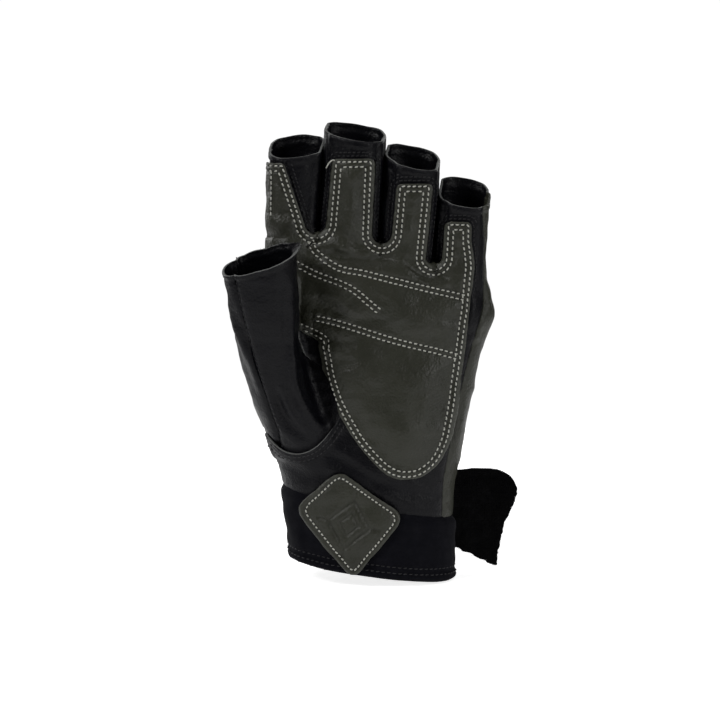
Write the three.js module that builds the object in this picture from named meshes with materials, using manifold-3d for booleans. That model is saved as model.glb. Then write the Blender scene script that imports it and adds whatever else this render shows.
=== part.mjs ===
// A left-hand fingerless leather sports glove, modelled as if a hand filled it: fingers up (+Z), palm
// facing -Y, thumb towards -X. The origin is the middle of the wrist opening. Millimetres.
// Every leather, foam and fabric piece is a thin closed solid cut from layers that follow one hand form.
import * as THREE from "three";
import { mergeVertices } from "three/addons/utils/BufferGeometryUtils.js";
import Module from "manifold-3d";

const wasm = await Module();
wasm.setup();

// ---- driving dimensions ----
const LEATHER = 1.2; // thickness of the main leather
const OVERLAY = 1.0; // thickness of the palm overlay's leather
const PAD = 1.6; // thickness of the foam inserts
const NEOPRENE = 2.0; // thickness of the cuff fabric
const GAP = 0.35; // clearance that neighbouring pieces keep
const SQUARENESS = 2.4; // exponent of the oval sections: 2 is an ellipse, more is boxier
// The wrist opening, the binding's upper edge and the cuff's upper edge: each one's height on the middle
// line, and its rise per millimetre of x and of y.
const OPENING = [0, -0.135, 0.04];
const BINDING_TOP = [4.4, -0.135, 0.04];
const CUFF_TOP = [29, -0.18, 0.02];
const FAR = 120; // larger than the glove's depth, for cutters
const THROUGH = 12; // how far the hollow runs past each opening

// Each row is an oval section: centre x, y, z, half width, half depth, then how z rises with x and with y.
const BODY = [
  [0, 0, 0, 34.8, 22, -0.135, 0.04],
  [-1.4, 0.5, 29, 37, 22, -0.18, 0.02],
  [-2, 1, 45, 39, 22.5, -0.12, 0],
  [1, 1, 70, 41, 21, -0.06, 0],
  [3.5, 1, 95, 43, 19, -0.05, 0],
  [5, 0, 114, 45.5, 17.5, -0.12, 0],
  [3.8, -1, 129, 45.8, 14.5, -0.29, 0],
  [3.8, -2, 136, 45, 10, -0.29, 0],
  [3.8, -2, 138.6, 43, 5, -0.29, 0],
];
const FINGERS = {
  index: [
    [-31, -1, 116, 10.5, 12, 0, 0],
    [-33, -2.5, 150, 9.8, 11.5, 0, 0.2],
    [-32, -6, 179.5, 12, 11, 0.1, 0.45],
  ],
  middle: [
    [-9, -1, 116, 12.5, 13, 0, 0],
    [-9.5, -3, 150, 13, 12, 0, 0.2],
    [-6.7, -7, 185, 12.3, 11, -0.15, 0.42],
  ],
  ring: [
    [13.5, -1, 108, 11.5, 13, 0, 0],
    [14.9, -3, 140, 11.2, 11.5, 0, 0.2],
    [17.8, -7, 173, 11, 10.5, -0.2, 0.6],
  ],
  little: [
    [36, 0, 100, 12, 12, 0, 0],
    [38, -2, 133, 11.6, 11, 0, 0.2],
    [40, -5, 161.5, 10.4, 10, -0.15, 0.6],
  ],
};
const THUMB = [
  [-25, -5, 48, 18, 15, 0, 0],
  [-37.5, -13, 72, 16.5, 15, 0.1, 0],
  [-43.2, -21, 96, 14.6, 14, 0.2, 0.1],
  [-45.4, -28, 118, 14.6, 13, 0.29, 0.2],
  [-46.6, -32.5, 135, 15.2, 12.5, 0.29, 0.3],
];
// Each gap between two fingers: the fourchette's outline in the front view, as [x, z] from its upper left.
const FOURCHETTES = {
  index_middle: [
    [-37, 200], [-36.5, 175], [-28, 148], [-24.5, 141], [-21.5, 147], [-19.5, 165], [-18.5, 200],
  ],
  middle_ring: [
    [2, 200], [1.5, 175], [0, 149], [1.2, 139], [4, 134.5], [6.8, 140], [8.5, 165], [10, 200],
  ],
  ring_little: [
    [24.5, 200], [25, 165], [23.5, 139], [26.6, 126.5], [29.6, 135], [31, 150], [32, 200],
  ],
};
// The side view of where the palm side meets the back, as [y, z] going up: it leans with the fingers.
const BACK_SEAM = [[3, -30], [3, 112], [1.5, 140], [-1.5, 160], [-6, 178], [-15, 210]];
// The overlay's four tabs, as [left x, right x, top z], and the round notches between them, as
// [middle x, bottom z, radius].
const TABS = [[-58, -35.9, 174.5], [-16.4, 0.5, 176.2], [10.4, 24.8, 166.2], [30.8, 41.7, 149.8]];
const NOTCHES = [[-23.6, 144, 5], [4, 140, 4.6], [26, 130.6, 4]];
// Edges of the overlay below the little-finger tab and back up the thumb side, in the front view.
const OVERLAY_RIGHT = [
  [42.6, 132], [42, 122], [39.9, 104], [37.2, 84], [33.9, 62], [30.3, 51.5], [25, 44.8], [19, 41.8],
];
const OVERLAY_LEFT = [
  [12.5, 41.4], [6, 43.8], [-1.5, 50.5], [-9, 60.3], [-15.3, 72], [-19.5, 84.5], [-21.8, 96], [-25, 101],
  [-58, 112],
];
const TAB_CORNER = 2.5; // radius of the overlay tabs' corners
const OVERLAY_WRAP = -3; // the overlay wraps round the index side as far back as this y
const STEP = 1.5; // width of the overlay's step down round each insert
// The three foam inserts, in the front view.
const KNUCKLE_PAD = [
  [-14, 133.5], [-8, 138], [4, 134], [12, 137.5], [22, 127], [38.5, 129], [38.5, 121.3], [8, 128],
];
const PALM_PAD = [[-13.5, 119], [8, 120.5], [38.5, 113.8], [37, 95.7], [-18, 109.2]];
const HEEL_PAD = [
  [-18.5, 103.5], [36, 90], [32.6, 71], [28.5, 57], [20.5, 48], [13.5, 46.5], [5, 51], [-11.5, 74],
];
const PAD_CORNER = 3; // corner radius of the inserts
// The seam that divides the thumb stall, and the side panel's front edge, as [x, z] going down.
const THUMB_SEAM = [[-58.3, 150], [-57.5, 130], [-51.5, 101], [-45.5, 79.5], [-40.4, 62], [-36, 30]];
const SIDE_EDGE = [
  [45.5, 190], [46.5, 155], [48.3, 140], [47.5, 114], [42, 94], [37, 72], [31, 40], [30, 20],
];
// Between these two heights the side panel also takes all that lies beyond this x and y.
const SIDE_WRAP = { x: 45, y: -6, low: 105, high: 190 };
const THUMB_ROOM = 4; // the stall's base stands this far off the hand, so that it can swing
const CUFF_PROUD = 0.6; // the cuff stands this much outside the leather
const BINDING_PROUD = 0.6; // the binding is this much thicker than the cuff, on both faces
// The diamond patch's corners, and the corner radius.
const PATCH = [[-32.5, 28], [-14, 46.5], [14, 25.5], [-8, -1.5]];
const PATCH_RADIUS = 5;
// The closing tab: where it folds, where its free part starts, and its outline as three curves. The first
// is the straight upper edge; the other two are Bezier curves, each as two handles and an end.
const TAB_FOLD = { x: 38, y: 12 };
const TAB_START = 38.6;
const TAB_LAYER = 0.9; // from the fold's plane to the outer face of each of its two layers
const TAB_ROOT = { top: 39.6, bottom: 8 };
const TAB_SHOULDER = [55, 40];
const TAB_NOSE = [60, 39.6, 64.6, 34, 63.4, 28.5];
const TAB_TAIL = [62, 22, 56.5, 18, 55, -3.6];
// The strip on the cuff's back that the tab is sewn to.
const ANCHOR = { left: 16, right: 37, front: 12.5 };
// The vent in the cuff, on the little-finger side.
const VENT_START = 22; // the vent cuts all that lies beyond this x
// Its side view, as [y, z].
const VENT = [[-2.5, -40], [12.5, -40], [12.5, 37], [8.5, 45], [3.5, 45], [-0.5, 37]];

// ---- solids ----
function solidOf(geometry) {
  const bare = geometry.clone();
  bare.deleteAttribute("normal");
  bare.deleteAttribute("uv");
  const merged = mergeVertices(bare, 1e-4);
  return new wasm.Manifold(
    new wasm.Mesh({
      numProp: 3,
      vertProperties: new Float32Array(merged.attributes.position.array),
      triVerts: new Uint32Array(merged.index.array),
    }),
  );
}

// Rows between the given ones, on a Catmull-Rom curve through every column.
function smoothRows(rows, steps) {
  const made = [];
  const at = (i) => rows[Math.min(rows.length - 1, Math.max(0, i))];
  for (let i = 0; i < rows.length - 1; i++)
    for (let s = 0; s < steps; s++) {
      const t = s / steps;
      made.push(
        rows[i].map((_, c) => {
          const [a, b, d, e] = [at(i - 1)[c], at(i)[c], at(i + 1)[c], at(i + 2)[c]];
          return b + 0.5 * t * (d - a + t * (2 * a - 5 * b + 4 * d - e + t * (3 * (b - d) + e - a)));
        }),
      );
    }
  made.push(rows.at(-1));
  return made;
}

// A copy of the end section, moved on past the end by a distance.
function pastEnd(end, inner, by) {
  const way = new THREE.Vector3(end[0] - inner[0], end[1] - inner[1], end[2] - inner[2]).setLength(by);
  return [end[0] + way.x, end[1] + way.y, end[2] + way.z, ...end.slice(3)];
}

// A closed solid through oval sections. grow widens it all round; below and above lengthen its two ends.
function loft(rows, { grow = 0, below = 0, above = 0, sides = 28, steps = 1 } = {}) {
  const rings = smoothRows(rows, steps);
  if (below) rings.unshift(pastEnd(rings[0], rings[1], below));
  if (above) rings.push(pastEnd(rings.at(-1), rings.at(-2), above));
  const points = [];
  const round = (v) => Math.sign(v) * Math.abs(v) ** (2 / SQUARENESS);
  for (const [x, y, z, width, depth, riseX, riseY] of rings)
    for (let j = 0; j < sides; j++) {
      const angle = (2 * Math.PI * j) / sides;
      const dx = (width + grow) * round(Math.cos(angle));
      const dy = (depth + grow) * round(Math.sin(angle));
      points.push(x + dx, y + dy, z + riseX * dx + riseY * dy);
    }
  const last = (rings.length - 1) * sides;
  const faces = [];
  for (let i = 0; i < last; i += sides)
    for (let j = 0; j < sides; j++) {
      const k = (j + 1) % sides;
      faces.push(i + j, i + k, i + sides + k, i + j, i + sides + k, i + sides + j);
    }
  const caps = points.length / 3;
  points.push(...rings[0].slice(0, 3), ...rings.at(-1).slice(0, 3));
  for (let j = 0; j < sides; j++) {
    const k = (j + 1) % sides;
    faces.push(caps, k, j, caps + 1, last + j, last + k);
  }
  const geometry = new THREE.BufferGeometry();
  geometry.setAttribute("position", new THREE.Float32BufferAttribute(points, 3));
  geometry.setIndex(faces);
  return solidOf(geometry);
}

// A front-view outline pushed through from y0 to y1.
function prism(shape, y0 = -FAR, y1 = FAR) {
  const depth = y1 - y0;
  const geometry = new THREE.ExtrudeGeometry(shape, { depth, bevelEnabled: false, curveSegments: 3 });
  geometry.rotateX(Math.PI / 2);
  geometry.translate(0, y1, 0);
  return solidOf(geometry);
}

const polygon = (points) => new THREE.Shape(points.map(([x, z]) => new THREE.Vector2(x, z)));

// A closed outline whose every edge is moved outwards by the same distance.
function grown(points, by) {
  const corners = points.map(([x, z]) => new THREE.Vector2(x, z));
  const outward = Math.sign(THREE.ShapeUtils.area(corners));
  const normal = (from, to) => new THREE.Vector2(to.y - from.y, from.x - to.x).setLength(outward);
  return corners.map((corner, i) => {
    const before = normal(corners.at(i - 1), corner);
    const after = normal(corner, corners[(i + 1) % corners.length]);
    const miter = before.clone().add(after).multiplyScalar(by / (1 + before.dot(after)));
    return [corner.x + miter.x, corner.y + miter.y];
  });
}

// A side-view outline, in [y, z], pushed through from x0 to x1.
function sidePrism(outline, x0 = -FAR, x1 = FAR) {
  const geometry = new THREE.ExtrudeGeometry(polygon(outline), { depth: x1 - x0, bevelEnabled: false });
  geometry.translate(0, 0, x0);
  geometry.applyMatrix4(new THREE.Matrix4().set(0, 0, 1, 0, 1, 0, 0, 0, 0, 1, 0, 0, 0, 0, 0, 1));
  return solidOf(geometry);
}

// Everything in front of a line that goes up the side view, moved back by shift.
const inFrontOf = (line, shift = 0) =>
  sidePrism([...line.map(([y, z]) => [y + shift, z]), [-FAR, line.at(-1)[1]], [-FAR, line[0][1]]]);

// A polygon whose corners are rounded.
function roundedPolygon(points, radius) {
  const shape = new THREE.Shape();
  const corners = points.map(([x, z]) => new THREE.Vector2(x, z));
  corners.forEach((corner, i) => {
    const before = corners.at(i - 1).clone().sub(corner).setLength(radius).add(corner);
    const after = corners[(i + 1) % corners.length].clone().sub(corner).setLength(radius).add(corner);
    if (i === 0) shape.moveTo(before.x, before.y);
    else shape.lineTo(before.x, before.y);
    shape.quadraticCurveTo(corner.x, corner.y, after.x, after.y);
  });
  return shape;
}

// Everything below a sloping level: its height on the middle line, and its rise with x and with y.
function under([height, riseX, riseY], shift = 0) {
  const geometry = new THREE.BoxGeometry(2 * FAR, 2 * FAR, 2 * FAR);
  geometry.translate(0, 0, height + shift - FAR);
  geometry.applyMatrix4(new THREE.Matrix4().set(1, 0, 0, 0, 0, 1, 0, 0, riseX, riseY, 1, 0, 0, 0, 0, 1));
  return solidOf(geometry);
}

// Everything left of a line that goes down the front view, moved right by shift.
const leftOf = (line, shift = 0) =>
  prism(polygon([[-FAR, line[0][1]], ...line.map(([x, z]) => [x + shift, z]), [-FAR, line.at(-1)[1]]]));

function box(low, high) {
  const geometry = new THREE.BoxGeometry(...high.map((h, i) => h - low[i]));
  geometry.translate(...high.map((h, i) => (h + low[i]) / 2));
  return solidOf(geometry);
}

// The hand-shaped form: palm and fingers in one, the thumb on its own. The palm's crown moves with grow.
function hand(grow, { below = 0, above = 0 } = {}) {
  const [x, y, z, ...crown] = BODY.at(-1);
  const palm = loft([...BODY.slice(0, -1), [x, y, z + grow, ...crown]], { grow, below });
  return Object.values(FINGERS).reduce(
    (sum, rows) => sum.add(loft(rows, { grow, above, sides: 20, steps: 2 })),
    palm,
  );
}
const thumb = (grow, ends = {}) => loft(THUMB, { grow, sides: 24, ...ends });
const handHollow = hand(-LEATHER, { below: THROUGH, above: THROUGH });
const thumbHollow = thumb(-LEATHER, { above: THROUGH });
const handOuter = hand(0);
const layer = (inner, outer) =>
  hand(outer, { below: THROUGH }).subtract(hand(inner, { below: 2 * THROUGH, above: THROUGH }));

// ---- leather shell ----
const vent = sidePrism(VENT, VENT_START);
const handWall = handOuter.subtract(handHollow).subtract(thumbHollow).subtract(under(CUFF_TOP, GAP));
const gapCutters = Object.fromEntries(
  Object.entries(FOURCHETTES).map(([name, line]) => [name, prism(polygon(line))]),
);
const rightOf = (line, shift) =>
  prism(polygon([...line.map(([x, z]) => [x + shift, z]), [FAR, line.at(-1)[1]], [FAR, line[0][1]]]));
const sideRegion = (by) =>
  rightOf(SIDE_EDGE, -by).add(
    box([SIDE_WRAP.x - by, SIDE_WRAP.y - by, SIDE_WRAP.low], [FAR, FAR, SIDE_WRAP.high + by]),
  );
const frontHalf = inFrontOf(BACK_SEAM, -GAP);
const upToBackSeam = inFrontOf(BACK_SEAM);
const gapClearance = Object.values(FOURCHETTES).map((line) => prism(polygon(grown(line, GAP))));

const palmPanel = gapClearance
  .reduce((wall, cutter) => wall.subtract(cutter), handWall.intersect(frontHalf))
  .subtract(sideRegion(GAP))
  .subtract(vent);
const backPanel = handWall.subtract(upToBackSeam).subtract(vent);
const sidePanel = handWall.intersect(frontHalf).intersect(sideRegion(0)).subtract(vent);
const fourchettes = Object.fromEntries(
  Object.entries(gapCutters).map(([name, cutter]) => [
    name,
    handWall.intersect(cutter).intersect(frontHalf),
  ]),
);
const thumbWall = thumb(0).subtract(thumbHollow).subtract(hand(THUMB_ROOM));
const thumbBackPanel = thumbWall.intersect(leftOf(THUMB_SEAM, -GAP));
const thumbFrontPanel = thumbWall.subtract(leftOf(THUMB_SEAM));

// ---- padded palm overlay ----
function overlayShape() {
  const shape = new THREE.Shape();
  TABS.forEach(([left, right, top], i) => {
    if (i === 0) shape.moveTo(left, top);
    else shape.lineTo(left, top - TAB_CORNER).quadraticCurveTo(left, top, left + TAB_CORNER, top);
    shape.lineTo(right - TAB_CORNER, top).quadraticCurveTo(right, top, right, top - TAB_CORNER);
    if (i < NOTCHES.length) {
      const [x, bottom, radius] = NOTCHES[i];
      const middle = bottom + radius;
      shape.lineTo(x - radius, middle).absarc(x, middle, radius, Math.PI, 2 * Math.PI, false);
    }
  });
  shape.splineThru([...OVERLAY_RIGHT, ...OVERLAY_LEFT].map(([x, z]) => new THREE.Vector2(x, z)));
  return shape;
}
const padShapes = { knuckle_pad: KNUCKLE_PAD, palm_pad: PALM_PAD, heel_pad: HEEL_PAD };
const padPrism = (points, by = 0) => prism(roundedPolygon(grown(points, by), PAD_CORNER), -FAR, 0);
const overlayPrism = prism(overlayShape(), -FAR, OVERLAY_WRAP);
const thumbRoom = thumb(GAP, { above: THROUGH });
const padLayer = layer(GAP, GAP + PAD);
const pads = Object.fromEntries(
  Object.entries(padShapes).map(([name, points]) => [
    name,
    padLayer.intersect(padPrism(points)).subtract(thumbRoom),
  ]),
);
const flatOverlay = layer(GAP, GAP + OVERLAY).intersect(overlayPrism);
const RAISED = GAP + PAD + GAP;
const raisedSkin = layer(RAISED, RAISED + OVERLAY);
const stepWall = layer(GAP, RAISED + OVERLAY);
const palmOverlay = Object.values(padShapes)
  .reduce((sum, points) => {
    const room = padPrism(points, GAP);
    const rim = padPrism(points, GAP + STEP);
    return sum
      .subtract(room)
      .add(stepWall.intersect(rim).subtract(room))
      .add(raisedSkin.intersect(rim));
  }, flatOverlay)
  .subtract(thumbRoom);

// ---- cuff ----
const cuffBand = layer(CUFF_PROUD - NEOPRENE, CUFF_PROUD)
  .intersect(under(CUFF_TOP))
  .subtract(under(BINDING_TOP, GAP))
  .subtract(vent);
const cuffFront = cuffBand.intersect(frontHalf);
const cuffBack = cuffBand.subtract(upToBackSeam);
const bindingOuter = CUFF_PROUD + BINDING_PROUD;
const cuffBinding = layer(CUFF_PROUD - NEOPRENE - BINDING_PROUD, bindingOuter)
  .intersect(under(BINDING_TOP))
  .subtract(under(OPENING))
  .subtract(vent);
const onCuff = bindingOuter + GAP;
const patchPrism = prism(roundedPolygon(PATCH, PATCH_RADIUS), -FAR, 0);
const wristPatch = layer(onCuff, onCuff + LEATHER).intersect(patchPrism);

// ---- closing tab ----
function tabShape() {
  const shape = new THREE.Shape();
  shape.moveTo(TAB_START, TAB_ROOT.top);
  shape.lineTo(...TAB_SHOULDER);
  shape.bezierCurveTo(...TAB_NOSE);
  shape.bezierCurveTo(...TAB_TAIL);
  shape.lineTo(TAB_START, TAB_ROOT.bottom);
  return shape;
}
const fastener = prism(tabShape(), TAB_FOLD.y - TAB_LAYER, TAB_FOLD.y - GAP / 2);
const backing = prism(tabShape(), TAB_FOLD.y + GAP / 2, TAB_FOLD.y + TAB_LAYER);
const tabAnchor = layer(onCuff, onCuff + TAB_LAYER * 2).intersect(
  box([ANCHOR.left, ANCHOR.front, TAB_ROOT.bottom], [ANCHOR.right, FAR, TAB_ROOT.top]),
);

// ---- the glove ----
const finish = (color, roughness) => new THREE.MeshStandardMaterial({ color, roughness, metalness: 0 });
const blackLeather = finish(0x17171a, 0.45);
const oliveLeather = finish(0x2c2d26, 0.5);
const neoprene = finish(0x0f1015, 0.9);
const foam = finish(0x6b6b68, 0.95);
const hookCloth = finish(0x070708, 1);

const glove = new THREE.Group();
function addPiece(name, solid, material) {
  const { numProp, numVert, vertProperties, triVerts } = solid.getMesh();
  const points = new Float32Array(numVert * 3);
  for (let i = 0; i < numVert; i++) {
    const start = i * numProp;
    points.set(vertProperties.subarray(start, start + 3), i * 3);
  }
  const geometry = new THREE.BufferGeometry();
  geometry.setAttribute("position", new THREE.BufferAttribute(points, 3));
  geometry.setIndex(new THREE.BufferAttribute(triVerts, 1));
  geometry.computeVertexNormals();
  const mesh = new THREE.Mesh(geometry, material);
  mesh.name = name;
  glove.add(mesh);
}

addPiece("palm_panel", palmPanel, blackLeather);
addPiece("back_panel", backPanel, blackLeather);
addPiece("side_panel", sidePanel, oliveLeather);
for (const [name, solid] of Object.entries(fourchettes)) {
  addPiece(`fourchette_${name}`, solid, blackLeather);
}
addPiece("thumb_front_panel", thumbFrontPanel, blackLeather);
addPiece("thumb_back_panel", thumbBackPanel, blackLeather);
addPiece("palm_overlay", palmOverlay, oliveLeather);
for (const [name, solid] of Object.entries(pads)) addPiece(name, solid, foam);
addPiece("cuff_front", cuffFront, neoprene);
addPiece("cuff_back", cuffBack, neoprene);
addPiece("cuff_binding", cuffBinding, neoprene);
addPiece("wrist_patch", wristPatch, oliveLeather);
addPiece("tab_anchor", tabAnchor, neoprene);
addPiece("tab_backing", backing, neoprene);
addPiece("tab_fastener", fastener, hookCloth);

export default glove;
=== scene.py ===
"""A left-hand fingerless leather sports glove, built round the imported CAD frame. Shapes are worked out in
millimetres, fingers up (+Z), palm facing -Y, thumb towards -X, and turned to metres when an object is made."""
import math
from functools import cached_property

import bpy
import numpy as np
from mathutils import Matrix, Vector
from mathutils.bvhtree import BVHTree
from mathutils.kdtree import KDTree


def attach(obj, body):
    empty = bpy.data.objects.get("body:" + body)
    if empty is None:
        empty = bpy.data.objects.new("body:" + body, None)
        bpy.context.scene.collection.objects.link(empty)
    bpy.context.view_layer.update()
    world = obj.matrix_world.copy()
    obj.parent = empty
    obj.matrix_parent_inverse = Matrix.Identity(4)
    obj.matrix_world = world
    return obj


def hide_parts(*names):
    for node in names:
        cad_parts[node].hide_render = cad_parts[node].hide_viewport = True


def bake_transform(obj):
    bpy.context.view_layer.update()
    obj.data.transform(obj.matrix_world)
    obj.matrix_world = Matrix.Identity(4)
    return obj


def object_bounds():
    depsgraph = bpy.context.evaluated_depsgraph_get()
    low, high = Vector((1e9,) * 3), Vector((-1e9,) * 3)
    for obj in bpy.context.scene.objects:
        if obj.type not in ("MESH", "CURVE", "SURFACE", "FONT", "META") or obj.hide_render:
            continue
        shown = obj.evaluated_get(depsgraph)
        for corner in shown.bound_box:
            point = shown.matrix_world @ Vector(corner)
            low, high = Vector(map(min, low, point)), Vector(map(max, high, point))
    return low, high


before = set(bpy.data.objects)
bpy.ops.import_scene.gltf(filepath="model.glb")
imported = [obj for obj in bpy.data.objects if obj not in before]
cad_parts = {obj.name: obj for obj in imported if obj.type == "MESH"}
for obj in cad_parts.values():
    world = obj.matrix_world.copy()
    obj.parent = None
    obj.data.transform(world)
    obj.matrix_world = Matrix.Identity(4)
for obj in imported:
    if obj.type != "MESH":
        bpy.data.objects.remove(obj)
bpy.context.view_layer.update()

MM = 0.001
SEED = 7
random = np.random.default_rng(SEED)

# ---------------------------------------------------------------- driving dimensions, in millimetres
LEATHER = 1.2
OVERLAY = 1.0
NEOPRENE = 2.0
BINDING = 2.6
VOXEL = 0.9  # grid of the hand form
SQUARENESS = 2.4  # exponent of the oval sections
STITCH_PITCH = 2.25
ROW_GAP = 2.1  # between the two rows of a double seam
EDGE_ROW = 1.3  # from the overlay's raw edge to its outer row of stitches
UNDER_LIP = 1.6  # the thumb stall's leather starts this far under the palm's
SEAM_GAP = -0.12  # two panels overlap by twice this, down in their seam
FAR = 12.0  # beyond this, the distance from the palm's lip isn't measured
OUTSIDE = 200.0  # a ray cast at the glove starts this far out
PALM_SIDE = -2.0  # the overlay and its pads lie in front of this y
PATCH_PITCH = 1.9
BLACK_SEAM = {"pitch": 1.9, "radius": 0.26, "length": 1.4}

# The same sections as the CAD part: centre x, y, z, half width, half depth, rise with x, rise with y.
BODY = [
    [0, 0, 0, 34.8, 22, -0.135, 0.04],
    [-1.4, 0.5, 29, 37, 22, -0.18, 0.02],
    [-2, 1, 45, 39, 22.5, -0.12, 0],
    [1, 1, 70, 41, 21, -0.06, 0],
    [3.5, 1, 95, 43, 19, -0.05, 0],
    [5, 0, 114, 45.5, 17.5, -0.12, 0],
    [3.8, -1, 129, 45.8, 14.5, -0.29, 0],
    [3.8, -2, 136, 45, 10, -0.29, 0],
    [3.8, -2, 138.6, 43, 5, -0.29, 0],
]
FINGERS = {
    "index": [[-31, -1, 116, 10, 12, 0, 0], [-33.2, -2.5, 150, 9, 11.5, 0, 0.2], [-32.4, -6, 181, 11, 11, 0.1, 0.42]],
    "middle": [[-9, -1, 116, 12, 13, 0, 0], [-9.3, -3, 150, 11.7, 12, 0, 0.2], [-6.4, -7, 187, 11.4, 11, -0.15, 0.3]],
    "ring": [
        [13.5, -1, 108, 11, 13, 0, 0], [14.9, -3, 140, 10.2, 11.5, 0, 0.2], [17.8, -7, 176.5, 10.4, 10.5, -0.2, 0.42],
    ],
    "little": [[36, 0, 100, 11.5, 12, 0, 0], [38, -2, 133, 10.7, 11, 0, 0.2], [40, -5, 161.5, 10.1, 10, -0.15, 0.6]],
}
CROTCHES = [146, 138.5, 132]  # heights of the three crotches
FINGER_LEAN = 0.14  # the plane where two fingers touch leans this much, so no light shows between them
THUMB = [
    [-25, -5, 48, 17, 15, 0, 0],
    [-35.4, -13, 72, 14.2, 15, 0.1, 0],
    [-42.3, -21, 96, 13.4, 14, 0.2, 0.1],
    [-45, -28, 118, 14.2, 13, 0.29, 0.2],
    [-46.6, -32.5, 135, 15.2, 12.5, 0.29, 0.3],
]
# Sloping levels: height on the middle line, rise with x, rise with y.
CUFF_TOP = (29, -0.18, 0.02)
BINDING_TOP = (4.4, -0.135, 0.04)
OPENING = (0, -0.135, 0.04)
BACK_SEAM = [[3, -30], [3, 112], [1.5, 140], [-1.5, 160], [-6, 178], [-15, 210]]  # [y, z]
FOURCHETTES = {
    "index_middle": [[-37, 200], [-36.5, 175], [-28, 148], [-24.5, 141], [-21.5, 147], [-19.5, 165], [-18.5, 200]],
    "middle_ring": [[2, 200], [1.5, 175], [0, 149], [1.2, 139], [4, 134.5], [6.8, 140], [8.5, 165], [10, 200]],
    "ring_little": [[24.5, 200], [25, 165], [23.5, 139], [26.6, 126.5], [29.6, 135], [31, 150], [32, 200]],
}
# The overlay's finger tabs, each left, right and top, and the notches between them, each x, bottom and radius.
TABS = [[-58, -35.9, 174.5], [-16.4, 0.5, 176.2], [10.4, 24.8, 166.2], [30.8, 41.7, 149.8]]
NOTCHES = [[-23.6, 144, 5], [4, 140, 4.6], [26, 130.6, 4]]
OVERLAY_RIGHT = [[42.6, 132], [42, 122], [39.9, 104], [37.2, 84], [33.9, 62], [30.3, 51.5], [25, 44.8], [19, 41.8]]
OVERLAY_LEFT = [
    [12.5, 41.4], [6, 43.8], [-1.5, 50.5], [-9, 60.3], [-15.3, 72], [-19.5, 84.5], [-21.8, 96], [-25, 101], [-58, 112],
]
# Where the palm's leather ends round the thumb, in the front view, up to the fold beside the heel of the hand.
THUMB_ROOT = [
    [-62, 74], [-52, 68], [-47.5, 63], [-44, 58.4], [-40, 54.8], [-35.5, 52.6], [-30, 52.4], [-24.5, 54.8], [-19, 60],
    [-14.4, 67], [-14.2, 72], [-16, 78], [-19, 86], [-22, 95], [-25.5, 104], [-62, 112],
]
ROOT_FOLD = [[-24, 104], [-21, 85], [-17, 66], [-28, 54], [-44, 60]]  # the fold between the thumb and the palm
VALLEY = [[-26, 101], [-23.5, 86], [-19.5, 70]]  # between the thumb and the heel of the hand
THUMB_LIP = [[-43, 59.5], [-39.5, 56.6], [-35.5, 54.6], [-30, 54.4], [-25, 56.6], [-20, 61.4], [-16.2, 67.4]]
THUMB_SEAM = [[-58.3, 150], [-57.5, 130], [-51.5, 101], [-45.5, 79.5], [-40.4, 62], [-36, 30]]
SIDE_EDGE = [[45.5, 190], [46.5, 155], [48.3, 140], [47.5, 114], [42, 94], [37, 72], [31, 40], [30, 20]]
PATCH = [[-32.5, 28], [-14, 46.5], [14, 25.5], [-8, -1.5]]
ANCHOR = (17, 41, 8.5, 39)  # left, right, bottom and top of the strip that the tab is sewn to
# The quilting seams' middle lines, in the front view.
KNUCKLE_LINE = [[-26, 142.4], [-24.4, 138], [-19.3, 133.5], [-12.4, 130], [-3.8, 128.4], [13.3, 124.1], [39.2, 117.7]]
PALM_LINE = [[-24, 109.4], [-16.7, 108], [-8.2, 105.6], [9, 100.1], [26.3, 95.7], [36.2, 92.7]]
SHORT_LINE = [[-33, 132.6], [-24.4, 128.2], [-12.4, 123.7], [-7.3, 120.9], [-2.1, 116.6], [3, 112.4]]
INDEX_ROW = [[-42.3, 171.5], [-42.4, 160], [-42.6, 152]]  # one more row, where the overlay ends at the index finger
LOOSE_THREAD = [[-19.2, 172.6], [-18, 174.6], [-16.6, 175.6], [-15.4, 175.2], [-14.9, 173.8]]
PADS = {
    "knuckle_pad": [[-14, 133.5], [-8, 138], [4, 134], [12, 137.5], [22, 127], [38.5, 129], [38.5, 121.3], [8, 128]],
    "palm_pad": [[-13.5, 119], [8, 120.5], [38.5, 113.8], [37, 95.7], [-18, 109.2]],
    "heel_pad": [[-18.5, 103.5], [36, 90], [32.6, 71], [28.5, 57], [20.5, 48], [13.5, 46.5], [5, 51], [-11.5, 74]],
}
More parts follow.
